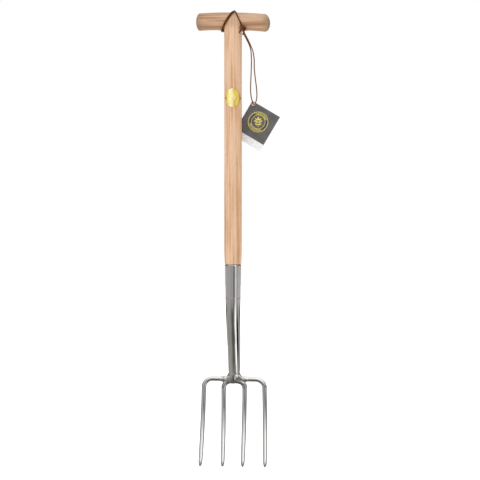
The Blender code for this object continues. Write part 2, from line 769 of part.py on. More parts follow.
# The free loop, in mm: down from the knot, through the eyelet from the front, and back up to the knot
LACE_ROUTE = (
    (25.6, -19.8, -30.6),
    (29.5, -18.6, -38.0),
    (35.1, -16.2, -48.9),
    (39.9, -13.0, -59.6),
    (42.4, -10.0, -70.5),
    (43.2, -5.6, -89.0),
    (42.6, -1.2, -107.0),
    (41.5, 3.0, -125.0),
    (40.3, 7.0, -144.0),
    (39.9, 10.4, -161.0),
    (41.2, 13.0, -175.0),
    (43.8, 15.0, -184.5),
    (45.1, 17.5, -189.6),
    (45.1, 21.5, -190.6),
    (45.9, 25.3, -190.2),
    (48.6, 27.6, -187.4),
    (51.6, 27.4, -181.0),
    (53.5, 23.0, -169.0),
    (53.0, 16.0, -152.0),
    (50.9, 9.2, -132.0),
    (49.2, 2.6, -111.0),
    (49.3, -4.2, -89.0),
    (47.2, -9.8, -72.5),
    (42.9, -13.2, -59.0),
    (37.7, -16.4, -47.6),
    (32.1, -18.8, -36.6),
    (28.4, -20.0, -29.4),
)


def make_lace(look, knot_pivot):
    corners = [Vector(row) * MM for row in LACE_ROUTE]
    lace = tube("lace", smooth_route(corners, 5.0 * MM), LACE_RADIUS, look)
    hang_on(lace, knot_pivot, KNOT_CENTRE)


# ---------------------------------------------------------------- swing tag


def tag_axes():
    """The card's top edge and its left edge, both running down from its top corner."""
    turn = math.radians(TAG_TURN)
    along = Vector((math.cos(turn), 0, -math.sin(turn)))
    down = Vector((-math.sin(turn), 0, -math.cos(turn)))
    return along, down


def eyelet_place():
    along, down = tag_axes()
    place = TAG_CORNER + (along + down) * TAG_EYELET_INSET
    place.y = FRONT_CARD_Y + (BACK_CARD_Y + CARD_THICKNESS - FRONT_CARD_Y) / 2
    return place


def make_card(name, length, y, look, empty):
    along, down = tag_axes()
    corners = [(0, 0), (TAG_SIDE, 0), (TAG_SIDE, length), (0, length)]
    outline = [TAG_CORNER + along * u + down * v for u, v in corners]
    card = prism(name, outline, ALONG_Y, y, y + CARD_THICKNESS, look)
    place = eyelet_place()
    radius = EYELET_BARREL_RADIUS + GAP
    hole = rod(name + "_hole", place - ALONG_Y * 0.01, place + ALONG_Y * 0.01, radius, segments=24)
    boolean(card, hole)
    hang_on(card, empty, place)


def make_eyelet(look, empty):
    """A barrel through both cards. It has a flange in front and is rolled over a washer at the back."""
    half = (BACK_CARD_Y + CARD_THICKNESS - FRONT_CARD_Y) / 2 + GAP
    outer = half + EYELET_FLANGE
    washer_back = -half - WASHER_THICKNESS
    rolled = washer_back - GAP
    edge = EYELET_FLANGE_RADIUS
    hole = EYELET_HOLE_RADIUS
    profile = [
        (hole, outer - 0.1 * MM),
        (hole + 0.4 * MM, outer + 0.15 * MM),
        (edge - 0.6 * MM, outer),
        (edge, half + 0.1 * MM),
        (edge - 0.1 * MM, half),
        (EYELET_BARREL_RADIUS, half),
        (EYELET_BARREL_RADIUS, rolled),
        (ROLLED_RADIUS, rolled),
        (ROLLED_RADIUS, rolled - 0.2 * MM),
        (ROLLED_RADIUS - 0.5 * MM, rolled - 0.4 * MM),
        (hole, rolled - 0.2 * MM),
    ]
    eyelet = turned("eyelet", profile, look, steps=24, closed=True)
    inner = EYELET_BARREL_RADIUS + GAP
    profile = [(edge, -half), (edge, washer_back), (inner, washer_back), (inner, -half)]
    washer = turned("eyelet_washer", profile, look, steps=24, closed=True)
    for piece in (eyelet, washer):
        piece.rotation_euler = (math.radians(90), 0, 0)
        piece.parent = empty


def main():
    wood = material("ash", (0.72, 0.50, 0.31), 0.5, 0.0)
    grip_wood = material("ash_grip", (0.66, 0.44, 0.27), 0.5, 0.0)
    steel = material("stainless", (0.62, 0.61, 0.59), 0.22, 1.0)
    dark_steel = material("pin_steel", (0.25, 0.24, 0.23), 0.4, 1.0)
    brass = material("brass", (0.86, 0.66, 0.25), 0.3, 1.0)
    leather = material("leather", (0.20, 0.09, 0.04), 0.6, 0.0)
    dark_card = material("dark_card", (0.10, 0.095, 0.09), 0.8, 0.0)
    white_card = material("white_card", (0.85, 0.84, 0.82), 0.8, 0.0)
    copper = material("copper", (0.72, 0.43, 0.26), 0.3, 1.0)

    make_grip(grip_wood)
    shaft = make_shaft(wood)
    socket = make_socket(steel)
    make_head(steel)
    make_rivet(steel, socket, shaft)
    make_plate(brass, dark_steel, shaft)
    make_wrap(leather)
    make_knot(leather)

    knot_pivot = pivot("knot_pivot", KNOT_CENTRE)
    make_lace(leather, knot_pivot)
    tag_pivot = pivot("tag_pivot", eyelet_place())
    make_eyelet(copper, tag_pivot)
    make_card("tag_front_card", TAG_SIDE, FRONT_CARD_Y, dark_card, tag_pivot)
    make_card("tag_back_card", TAG_BACK_LENGTH, BACK_CARD_Y, white_card, tag_pivot)


clear_scene()
parts = new_collection("digging_fork")
cutters = new_collection("cutters")
main()
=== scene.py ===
"""Looks of the digging fork: materials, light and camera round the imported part."""

import json
import math
import random

import bmesh
import bpy
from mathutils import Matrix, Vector, noise


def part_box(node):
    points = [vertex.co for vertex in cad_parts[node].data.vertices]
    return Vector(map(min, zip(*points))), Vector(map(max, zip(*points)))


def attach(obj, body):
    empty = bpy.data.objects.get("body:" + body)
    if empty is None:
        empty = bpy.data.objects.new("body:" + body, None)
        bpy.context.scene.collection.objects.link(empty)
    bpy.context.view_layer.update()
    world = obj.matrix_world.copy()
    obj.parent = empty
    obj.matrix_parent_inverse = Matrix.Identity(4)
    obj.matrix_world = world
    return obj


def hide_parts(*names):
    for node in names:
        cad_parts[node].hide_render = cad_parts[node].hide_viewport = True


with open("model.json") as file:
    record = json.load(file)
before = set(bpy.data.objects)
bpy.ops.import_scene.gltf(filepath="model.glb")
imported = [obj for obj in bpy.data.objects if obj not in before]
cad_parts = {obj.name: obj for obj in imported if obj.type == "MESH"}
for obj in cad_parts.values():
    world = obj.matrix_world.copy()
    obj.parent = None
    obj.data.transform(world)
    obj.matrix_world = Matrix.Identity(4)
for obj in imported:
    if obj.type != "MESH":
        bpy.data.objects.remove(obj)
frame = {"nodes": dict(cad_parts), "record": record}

MM = 0.001
random.seed(7)
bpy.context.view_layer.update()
scene = bpy.context.scene
nodes = frame["nodes"]
slots = {entry["node"]: entry["material_slot"] for entry in frame["record"]["subparts"]}

# ---------------------------------------------------------------- camera

# In degrees to the right of the front
CAMERA_YAW = 5.5
# In metres: how far away it stands, where it looks, and how wide the picture is at the fork
CAMERA_DISTANCE = 3.2
CAMERA_HEIGHT = -0.5054
CAMERA_SIDE = 0.0161
PICTURE_WIDTH = 1.1091
SENSOR_MM = 36.0


def add_camera():
    yaw = math.radians(CAMERA_YAW)
    right = Vector((math.cos(yaw), math.sin(yaw), 0))
    ahead = Vector((-math.sin(yaw), math.cos(yaw), 0))
    target = right * CAMERA_SIDE + Vector((0, 0, CAMERA_HEIGHT))
    data = bpy.data.cameras.new("camera")
    data.sensor_width = SENSOR_MM
    data.lens = SENSOR_MM * CAMERA_DISTANCE / PICTURE_WIDTH
    data.clip_end = 50
    camera = bpy.data.objects.new("camera", data)
    camera.location = target - ahead * CAMERA_DISTANCE
    camera.rotation_euler = ahead.to_track_quat("-Z", "Y").to_euler()
    scene.collection.objects.link(camera)
    scene.camera = camera


add_camera()

# ---------------------------------------------------------------- the free loop of thong

LACE_RADIUS = 1.3 * MM
LACE_SPACING = 3 * MM
STEPS_PER_CORNER = 20
# Out of the knot, down the left run, through the eyelet, up the right run and back into the knot, in mm
LACE_ROUTE = (
    (24.9, -18.4, -23.0),
    (25.5, -19.6, -29.6),
    (29.5, -18.6, -38.0),
    (35.1, -16.2, -48.9),
    (39.9, -13.0, -59.6),
    (42.4, -10.0, -70.5),
    (43.2, -5.6, -89.0),
    (42.6, -1.2, -107.0),
    (41.5, 3.0, -125.0),
    (40.3, 7.0, -144.0),
    (39.9, 10.4, -161.0),
    (41.2, 13.0, -175.0),
    (43.8, 15.0, -184.5),
    (45.1, 17.5, -189.6),
    (45.1, 21.5, -190.6),
    (45.9, 25.3, -190.2),
    (48.6, 27.6, -187.4),
    (51.6, 27.4, -181.0),
    (53.5, 23.0, -169.0),
    (53.0, 16.0, -152.0),
    (50.9, 9.2, -132.0),
    (49.2, 2.6, -111.0),
    (49.3, -4.2, -89.0),
    (47.2, -9.8, -72.5),
    (42.4, -13.2, -59.2),
    (37.3, -16.4, -47.8),
    (31.7, -18.8, -36.8),
    (28.0, -19.8, -29.4),
    (26.3, -18.4, -23.0),
)


def smooth_route(corners, spacing):
    """Evenly spaced points on a smooth curve through the corners."""
    padded = [corners[0] * 2 - corners[1], *corners, corners[-1] * 2 - corners[-2]]
    fine = []
    for a, b, c, d in zip(padded, padded[1:], padded[2:], padded[3:]):
        for step in range(STEPS_PER_CORNER):
            t = step / STEPS_PER_CORNER
            bend = a * 2 - b * 5 + c * 4 - d
            twist = b * 3 - a - c * 3 + d
            fine.append((b * 2 + (c - a) * t + bend * t * t + twist * t**3) / 2)
    fine.append(corners[-1])
    total = sum((b - a).length for a, b in zip(fine, fine[1:]))
    count = max(2, round(total / spacing))
    points = [fine[0]]
    walked = 0.0
    for a, b in zip(fine, fine[1:]):
        length = (b - a).length
        while len(points) < count and walked + length >= total * len(points) / count:
            points.append(a.lerp(b, (total * len(points) / count - walked) / length))
        walked += length
    points.append(fine[-1])
    return points


def link(obj, look):
    obj.data.materials.clear()
    obj.data.materials.append(look)
    scene.collection.objects.link(obj)
    return obj


def thong(name, points, radius, look):
    """A round thong whose thickness wanders a little."""
    curve = bpy.data.curves.new(name, "CURVE")
    curve.dimensions = "3D"
    curve.bevel_depth = radius
    curve.bevel_resolution = 4
    curve.use_fill_caps = True
    spline = curve.splines.new("POLY")
    spline.points.add(len(points) - 1)
    for target, point in zip(spline.points, points):
        target.co = (*point, 1.0)
        target.radius = random.uniform(0.97, 1.03)
    spline.use_smooth = True
    return link(bpy.data.objects.new(name, curve), look)


# ---------------------------------------------------------------- materials


class Graph:
    """A node tree whose nodes are added one at a time."""

    def __init__(self, tree):
        self.tree = tree

    def add(self, kind, *sources, **settings):
        """A node whose inputs are filled in order: a socket is linked, a number is set, None is skipped."""
        made = self.tree.nodes.new(kind)
        inputs = settings.pop("inputs", {})
        for name, value in settings.items():
            setattr(made, name, value)
        for socket, source in zip(made.inputs, sources):
            self.feed(socket, source)
        for name, source in inputs.items():
            self.feed(made.inputs[name], source)
        return made

    def feed(self, socket, source):
        if source is None:
            return
        if isinstance(source, bpy.types.NodeSocket):
            self.tree.links.new(source, socket)
        else:
            socket.default_value = source

    def place(self, scale=(1, 1, 1), turn=(0, 0, 0)):
        """The place on the surface in metres, turned and then stretched."""
        coordinates = self.add("ShaderNodeTexCoord").outputs["Object"]
        return self.add("ShaderNodeMapping", coordinates, None, turn, scale).outputs[0]

    def stretched(self, vector, along):
        """The place with its third axis scaled, so that a pattern is drawn out along it."""
        return self.add("ShaderNodeMapping", vector, None, None, (1, 1, along)).outputs[0]

    def axes(self, vector):
        return self.add("ShaderNodeSeparateXYZ", vector).outputs

    def noise(self, vector, scale, detail=2.0, roughness=0.5, distortion=0.0):
        made = self.add("ShaderNodeTexNoise", inputs={"Vector": vector, "Scale": scale, "Detail": detail})
        made.inputs["Roughness"].default_value = roughness
        made.inputs["Distortion"].default_value = distortion
        return made.outputs[0]

    def math(self, operation, *sources):
        return self.add("ShaderNodeMath", *sources, operation=operation).outputs[0]

    def shifted(self, source, middle, scale, start):
        """start plus how far the source is from its middle, scaled."""
        return self.math("MULTIPLY_ADD", self.math("SUBTRACT", source, middle), scale, start)

    def ramp(self, source, *stops):
        """Stops are (place, grey) or (place, (r, g, b)), with rising places."""
        made = self.add("ShaderNodeValToRGB", source)
        made.color_ramp.interpolation = "LINEAR"
        elements = made.color_ramp.elements
        while len(elements) < len(stops):
            elements.new(0.5)
        for element, (place, value) in zip(elements, stops):
            element.position = place
            colour = value if isinstance(value, tuple) else (value, value, value)
            element.color = (*colour, 1.0)
        return made.outputs[0]

    def mix(self, factor, first, second, blend="MIX"):
        made = self.add("ShaderNodeMix", data_type="RGBA", blend_type=blend)
        self.feed(made.inputs[0], factor)
        for socket, source in ((made.inputs[6], first), (made.inputs[7], second)):
            self.feed(socket, (*source, 1.0) if isinstance(source, tuple) else source)
        return made.outputs[2]


class Look(Graph):
    """A material on the Principled shader."""

    def __init__(self, name):
        self.material = bpy.data.materials.new(name)
        self.material.use_nodes = True
        super().__init__(self.material.node_tree)
        self.shader = self.tree.nodes["Principled BSDF"]

    def bump(self, height, distance, strength=1.0, normal=None):
        made = self.add("ShaderNodeBump", inputs={"Height": height, "Distance": distance})
        made.inputs["Strength"].default_value = strength
        if normal is not None:
            self.feed(made.inputs["Normal"], normal)
        return made.outputs[0]

    def finish(self, **inputs):
        """Fills the shader's sockets, with _ for a space in their names, and gives the material."""
        for name, source in inputs.items():
            self.feed(self.shader.inputs[name.replace("_", " ")], source)
        return self.material


# Spacing of the arcs on the shaft's forked top
CHEEK_ARC = 0.0046
# Colours of the grip's underside, painted darker as shade, and of its handled ends, of the tines' tips,
# darkened as a painted reflection, and of scale on the welds
UNDERSIDE_SHADE_BROWN = (0.30, 0.145, 0.062)
HANDLED_GREY = (0.21, 0.145, 0.09)
TIP_PAINTED_REFLECTION_GREY = (0.33, 0.32, 0.315)
SCALE_BROWN = (0.16, 0.14, 0.13)


def darker(colour, share):
    return tuple(c * share for c in colour)


def ash(name, turn, pith, ring, colours, contrast=1.0, end_dark=0.0, cheeks=False):
    """Ash with its grain along Z after the turn.

    Pith is where the rings' centre lies and ring is their spacing, in metres. The colours are the pale, the
    warm and the deep one. end_dark is how far its ends are greyed by hands, and when it is given the
    underside is painted darker as shade. cheeks adds the arcs on the shaft's forked top.
    """
    pale, warm, deep = colours
    look = Look(name)
    along = look.place(turn=turn)
    drawn_out = look.stretched(along, 0.10)
    wander = look.noise(drawn_out, 13, detail=2)
    offset = look.add("ShaderNodeVectorMath", along, pith, operation="SUBTRACT").outputs[0]
    flat = look.add("ShaderNodeVectorMath", offset, (1, 1, 0.02), operation="MULTIPLY").outputs[0]
    distance = look.add("ShaderNodeVectorMath", flat, operation="LENGTH").outputs["Value"]
    wavy = look.math("MULTIPLY_ADD", wander, 0.016, distance)
    rings = look.math("FRACT", look.math("DIVIDE", wavy, ring))
    band = look.ramp(rings, (0.0, 0.55), (0.16, 1.0), (0.40, 0.62), (0.70, 0.15), (0.90, 0.0), (1.0, 0.5))
    uneven = look.ramp(look.noise(drawn_out, 85, detail=1), (0.30, 0.25), (0.65, 1.0))
    band = look.math("MULTIPLY", band, uneven)
    fibre = look.noise(look.stretched(along, 0.022), 420, detail=3, roughness=0.6)
    broad = look.noise(drawn_out, 70, detail=2)
    tone = look.math("MULTIPLY", band, 0.55 * contrast)
    tone = look.shifted(broad, 0.5, 1.25 * contrast, tone)
    tone = look.shifted(fibre, 0.5, 0.8, tone)
    if cheeks:
        # The slanted cut through the rings shows as pointed arcs on the cheeks.
        x, _, z = look.axes(along)
        climb = look.math("ADD", z, look.math("MULTIPLY", wander, 0.01))
        peaked = look.math("MULTIPLY_ADD", look.math("MULTIPLY", x, x), 26, climb)
        arcs = look.math("FRACT", look.math("DIVIDE", peaked, CHEEK_ARC))
        arcs = look.ramp(arcs, (0.0, 0.0), (0.5, 1.0), (1.0, 0.0))
        high = look.ramp(look.math("MULTIPLY_ADD", z, 10, 0.5), (0.28, 0.0), (0.42, 1.0))
        marked = look.math("MULTIPLY", look.math("ADD", arcs, 0.35), high)
        tone = look.math("MULTIPLY_ADD", marked, 0.30, tone)
    colour = look.ramp(tone, (0.0, pale), (0.32, warm), (0.85, deep))
    pores = look.ramp(look.noise(look.stretched(along, 0.05), 1500, detail=1), (0.60, 0.0), (0.68, 1.0))
    in_band = look.math("MULTIPLY", pores, look.math("MULTIPLY_ADD", band, 0.6, 0.25))
    colour = look.mix(look.math("MULTIPLY", in_band, 0.6), colour, darker(deep, 0.42))
    hair = look.ramp(look.noise(look.stretched(along, 0.012), 1050, detail=2), (0.50, 0.0), (0.66, 1.0))
    colour = look.mix(look.math("MULTIPLY", hair, 0.28), colour, deep)
    if cheeks:
        colour = look.mix(look.math("MULTIPLY", high, 0.55), colour, darker(pale, 0.70))
    if end_dark:
        # Below its middle the grip is painted darker as shade, broken up into long lenses like the grain.
        height = look.axes(look.place())[2]
        underside_shade = look.ramp(
            look.math("MULTIPLY_ADD", height, 20, 0.5),
            (0.08, 0.75),
            (0.20, 1.0),
            (0.42, 0.75),
            (0.58, 0.1),
            (0.95, 0.25),
        )
        lens = look.noise(look.stretched(along, 0.16), 95, detail=1, distortion=0.6)
        lens = look.ramp(lens, (0.36, 0.35), (0.54, 1.0))
        dark = look.math("MULTIPLY", look.math("MULTIPLY", underside_shade, lens), 0.9)
        colour = look.mix(dark, colour, UNDERSIDE_SHADE_BROWN)
        length = look.math("ABSOLUTE", look.axes(along)[2])
        near_end = look.ramp(look.math("MULTIPLY", length, 10), (0.66, 0.0), (0.86, 1.0))
        colour = look.mix(look.math("MULTIPLY", near_end, end_dark), colour, HANDLED_GREY)
    rough = look.math("MULTIPLY_ADD", fibre, 0.25, 0.40)
    relief = look.math("SUBTRACT", look.math("MULTIPLY", fibre, 0.5), in_band)
    normal = look.bump(relief, 0.00012, 0.5)
    return look.finish(Base_Color=colour, Roughness=rough, Normal=normal)


def polished_steel(name, colour=(0.70, 0.69, 0.675), rough=0.07, lumps=0.0, tip_z=None):
    """Polished stainless. lumps is the depth of a cast roughness, and below tip_z the polish is worn rougher
    and its colour darkened as a painted reflection.
    """
    look = Look(name)
    lines = look.noise(look.place(scale=(1, 1, 0.03)), 900, detail=3)
    cloud = look.noise(look.place(), 38, detail=3, roughness=0.6)
    smears = look.ramp(cloud, (0.35, 0.0), (0.7, 1.0))
    roughness = look.math("MULTIPLY_ADD", smears, 0.05, rough)
    roughness = look.shifted(lines, 0.5, 0.06, roughness)
    tint = look.mix(look.math("MULTIPLY", smears, 0.3), colour, darker(colour, 0.86))
    # Below tip_z the steel is rougher from wear, and its colour is darkened towards grey as a painted dark
    # reflection
    if tip_z:
        above = look.math("SUBTRACT", look.axes(look.place())[2], tip_z)
        ragged = look.math("MULTIPLY_ADD", cloud, 0.012, above)
        below = look.ramp(look.math("MULTIPLY_ADD", ragged, 30, 0.5), (0.35, 1.0), (0.95, 0.0))
        tint = look.mix(look.math("MULTIPLY", below, 0.85), tint, TIP_PAINTED_REFLECTION_GREY)
        roughness = look.math("MULTIPLY_ADD", below, 0.16, roughness)
    slow = look.noise(look.place(scale=(1, 1, 0.35)), 60, detail=1)
    normal = look.bump(slow, 0.0005, 0.5)
    normal = look.bump(lines, 0.00003, 0.5, normal)
    if lumps:
        rough_cast = look.noise(look.place(), 260, detail=3)
        scale_marks = look.noise(look.place(), 90, detail=3, roughness=0.7)
        scale_marks = look.ramp(scale_marks, (0.50, 0.0), (0.66, 1.0))
        tint = look.mix(look.math("MULTIPLY", scale_marks, 0.75), tint, SCALE_BROWN)
        normal = look.bump(rough_cast, lumps, 0.8, normal)
    return look.finish(Base_Color=tint, Metallic=1.0, Roughness=roughness, Normal=normal)


def leather(name, deep, brown, worn):
    """Waxed leather, mottled between three browns."""
    look = Look(name)
    grain = look.noise(look.place(), 700, detail=3, roughness=0.6)
    patch = look.noise(look.place(), 130, detail=2)
    tone = look.shifted(grain, 0.5, 0.7, patch)
    colour = look.ramp(tone, (0.28, deep), (0.5, brown), (0.74, worn))
    normal = look.bump(grain, 0.0002, 0.7)
    rough = look.math("MULTIPLY_ADD", grain, 0.3, 0.45)
    return look.finish(Base_Color=colour, Roughness=rough, Specular_IOR_Level=0.08, Normal=normal)


def card(name, colour, weave):
    """Uncoated board or ink. weave is how much its fibres differ from the colour."""
    look = Look(name)
    fibres = look.noise(look.place(), 1300, detail=3, roughness=0.7)
    patch = look.noise(look.place(), 60, detail=2)
    tone = look.shifted(patch, 0.5, 0.5, fibres)
    light = tuple(min(c * (1 + weave), 0.95) for c in colour)
    paint = look.ramp(tone, (0.3, darker(colour, 1 - weave)), (0.7, light))
    normal = look.bump(fibres, 0.00006, 0.6)
    rough = look.math("MULTIPLY_ADD", fibres, 0.2, 0.62)
    return look.finish(Base_Color=paint, Roughness=rough, Normal=normal)


def metal(name, colour, rough, dark):
    """Brass, copper or dull steel with fine scratches and darker patches."""
    look = Look(name)
    scratch = look.noise(look.place(scale=(1, 1, 0.12)), 1400, detail=2)
    patch = look.noise(look.place(), 150, detail=3)
    worn = look.ramp(patch, (0.42, 0.0), (0.68, 1.0))
    tint = look.mix(look.math("MULTIPLY", worn, dark), colour, darker(colour, 0.55))
    roughness = look.math("MULTIPLY_ADD", worn, 0.12, rough)
    roughness = look.shifted(scratch, 0.5, 0.15, roughness)
    normal = look.bump(scratch, 0.00004, 0.5)
    return look.finish(Base_Color=tint, Metallic=1.0, Roughness=roughness, Normal=normal)


def brass_with_painted_highlight(name):
    """Lacquered brass with a painted highlight left of its middle, a painted dark reflection band right of
    it and amber towards its right side.
    """
    look = Look(name)
    cloud = look.noise(look.place(scale=(1, 1, 0.45)), 260, detail=3, roughness=0.65)
    across = look.shifted(cloud, 0.5, 0.009, look.axes(look.place())[0])
    # Across the plate: amber at its left edge, a painted cream highlight just left of the middle, a painted
    # dark reflection band right of the middle, then amber
    tint = look.ramp(
        look.math("MULTIPLY_ADD", across, 25, 0.5),
        (0.06, (0.66, 0.40, 0.045)),
        (0.22, (0.90, 0.66, 0.10)),
        (0.34, (1.0, 0.93, 0.45)),
        (0.46, (1.0, 0.97, 0.66)),
        (0.56, (0.88, 0.72, 0.16)),
        (0.66, (0.58, 0.40, 0.040)),
        (0.78, (0.86, 0.60, 0.075)),
        (0.94, (0.60, 0.34, 0.035)),
    )
    scratch = look.noise(look.place(scale=(1, 1, 0.12)), 1400, detail=2)
    roughness = look.math("MULTIPLY_ADD", scratch, 0.2, 0.22)
    normal = look.bump(cloud, 0.0005, 0.5)
    normal = look.bump(scratch, 0.00004, 0.5, normal)
    return look.finish(Base_Color=tint, Metallic=0.3, Roughness=roughness, Normal=normal)


def foil(name, colour, metallic):
    """Gold foil, or rubbed brass, a little crinkled and worn."""
    look = Look(name)
    crinkle = look.noise(look.place(), 900, detail=3, roughness=0.65)
    patch = look.noise(look.place(), 170, detail=2)
    worn = look.ramp(patch, (0.42, 0.0), (0.62, 1.0))
    tint = look.mix(look.math("MULTIPLY", worn, 0.45), colour, darker(colour, 0.6))
    normal = look.bump(crinkle, 0.0001, 0.6)
    roughness = look.math("MULTIPLY_ADD", crinkle, 0.25, 0.25)
    return look.finish(Base_Color=tint, Metallic=metallic, Roughness=roughness, Normal=normal)


# Below this height the tines' polish is worn rougher and their colour darkened as a painted reflection
TIP_WEAR_AND_REFLECTION_Z = -1.021

looks = {
    "shaft_wood": ash(
        "ash_shaft",
        turn=(0, 0, 0),
        pith=(-0.075, 0.040, 0),
        ring=0.0058,
        colours=((0.690, 0.462, 0.302), (0.590, 0.350, 0.190), (0.430, 0.220, 0.095)),
        contrast=1.1,
        cheeks=True,
    ),
    "grip_wood": ash(
        "ash_grip",
        turn=(0, math.radians(90), 0),
        pith=(0.080, 0.030, 0),
        ring=0.0075,
        colours=((0.610, 0.400, 0.258), (0.480, 0.280, 0.152), (0.270, 0.120, 0.046)),
        contrast=0.95,
        end_dark=0.7,
    ),
    "stainless": polished_steel("stainless", tip_z=TIP_WEAR_AND_REFLECTION_Z),
    "weld": polished_steel("weld_steel", (0.66, 0.645, 0.63), 0.12, lumps=0.0004),
    "rivet_steel": metal("rivet_steel", (0.60, 0.59, 0.57), 0.28, 0.3),
    "pin_steel": metal("pin_steel", (0.20, 0.20, 0.23), 0.34, 0.4),
    "brass": brass_with_painted_highlight("brass"),
    "foil": foil("gold_foil", (0.86, 0.74, 0.14), 0.25),
    "relief": foil("brass_relief", (1.0, 0.88, 0.42), 0.4),
    "leather": leather("leather", (0.052, 0.012, 0.003), (0.113, 0.029, 0.007), (0.235, 0.071, 0.021)),
    "lace": leather("lace_leather", (0.115, 0.038, 0.014), (0.155, 0.056, 0.022), (0.20, 0.080, 0.035)),
    "dark_card": card("dark_card", (0.108, 0.104, 0.104), 0.3),
    "white_card": card("white_card", (0.79, 0.80, 0.84), 0.03),
    "ink": card("dark_ink", (0.035, 0.035, 0.055), 0.2),
    "print": card("grey_print", (0.46, 0.46, 0.52), 0.15),
    "copper": metal("copper", (0.80, 0.50, 0.33), 0.28, 0.4),
}

# ---------------------------------------------------------------- leather pieces


def in_metres(route):
    return [Vector(point) * MM for point in route]


lace_points = smooth_route(in_metres(LACE_ROUTE), LACE_SPACING)
lace = thong("lace_thong", lace_points, LACE_RADIUS, looks["lace"])
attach(lace, "lace")
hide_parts("lace")

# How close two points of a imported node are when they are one
MERGE = 0.02 * MM


def welded_copy(name):
    """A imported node's shape with its points joined, to build a finer piece on."""
    bm = bmesh.new()
    bm.from_mesh(nodes[name].data)
    bmesh.ops.remove_doubles(bm, verts=bm.verts, dist=MERGE)
    return bm


def applied(obj):
    """The object with its modifiers turned into mesh."""
    graph = bpy.context.evaluated_depsgraph_get()
    mesh = bpy.data.meshes.new_from_object(obj.evaluated_get(graph))
    obj.modifiers.clear()
    obj.data = mesh
    return obj


def from_bmesh(name, bm, look, smooth=True):
    """A piece from the bmesh, without the flat faces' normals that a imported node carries."""
    mesh = bpy.data.meshes.new(name)
    bmesh.ops.recalc_face_normals(bm, faces=bm.faces)
    bm.to_mesh(mesh)
    bm.free()
    kept = mesh.attributes.get("custom_normal")
    if kept:
        mesh.attributes.remove(kept)
    if smooth:
        mesh.shade_smooth()
    return link(bpy.data.objects.new(name, mesh), look)


def roughen(obj, size, depth):
    """Moves each point along its normal by a soft noise."""
    mesh = obj.data
    moves = [v.normal * noise.noise(v.co / size) * depth for v in mesh.vertices]
    for vertex, move in zip(mesh.vertices, moves):
        vertex.co += move


# Where the wrapped thong's strands cross over the grip, and how far and how much they swell there
WRAP_TOP = Vector((3.0, -4.0, 24.5)) * MM
WRAP_TOP_REACH = 7 * MM
WRAP_TOP_SWELL = 0.5 * MM
# Each tied piece's node, its name and how much fuller it is than the node
TIED = (("thong_wrap", "wrap_leather", 0.20 * MM), ("thong_knot", "knot_leather", 0.45 * MM))
LEATHER_LUMP = 4 * MM
LEATHER_ROUGHNESS = 0.16 * MM


def swell(obj, depth):
    """Thickens a thong, and more where its strands cross over the top of the grip."""
    mesh = obj.data
    moves = []
    for vertex in mesh.vertices:
        away = (vertex.co - WRAP_TOP).length / WRAP_TOP_REACH
        moves.append(vertex.normal * (depth + WRAP_TOP_SWELL * math.exp(-away * away)))
    for vertex, move in zip(mesh.vertices, moves):
        vertex.co += move


def settle(piece, body, slot, *replaced):
    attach(piece, body)
    if replaced:
        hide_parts(*replaced)


def add_tied_thong():
    for source, name, fuller in TIED:
        piece = from_bmesh(name, welded_copy(source), looks["leather"])
        smoother = piece.modifiers.new("smoother", "SUBSURF")
        smoother.levels = 1
        smoother.render_levels = 1
        applied(piece)
        swell(piece, fuller)
        roughen(piece, LEATHER_LUMP, LEATHER_ROUGHNESS)
        piece.data.shade_smooth()
        settle(piece, "fork", "leather", source)


STRAND_RADIUS = 1.45 * MM
STRAND_SPACING = 1 * MM
STRAND_INTO_KNOT = ((20.6, -18.9, -9.3), (21.5, -19.7, -11.4), (22.5, -20.0, -14.0), (23.8, -19.4, -17.2))


def add_strand():
    """The end of the crossing strand, from the side of the shaft into the knot."""
    points = smooth_route(in_metres(STRAND_INTO_KNOT), STRAND_SPACING)
    settle(thong("strand_into_knot", points, STRAND_RADIUS, looks["leather"]), "fork", "leather")


add_tied_thong()
add_strand()

# ---------------------------------------------------------------- the welded junction

JUNCTION_NODES = (
    "neck_forging",
    "weld_left",
    "weld_right",
    "inner_tine_bow",
    "outer_tine_left",
    "outer_tine_right",
)
JUNCTION_HALF_WIDTH = 40 * MM
JUNCTION_TOP_Z = -804 * MM
JUNCTION_FOOT_Z = -858 * MM
JUNCTION_VOXEL = 0.8 * MM
JUNCTION_ROUNDS = 26
JUNCTION_SWELL = 0.75 * MM
# The ends of the junction sink into the bars over the taper, and its top does so more slowly
JUNCTION_SINK = 0.45 * MM
JUNCTION_TAPER = 12 * MM
JUNCTION_TOP_SHARE = 0.6
# Size and height of its large and small lumps
JUNCTION_LUMPS = ((7 * MM, 0.6 * MM), (3 * MM, 0.12 * MM))


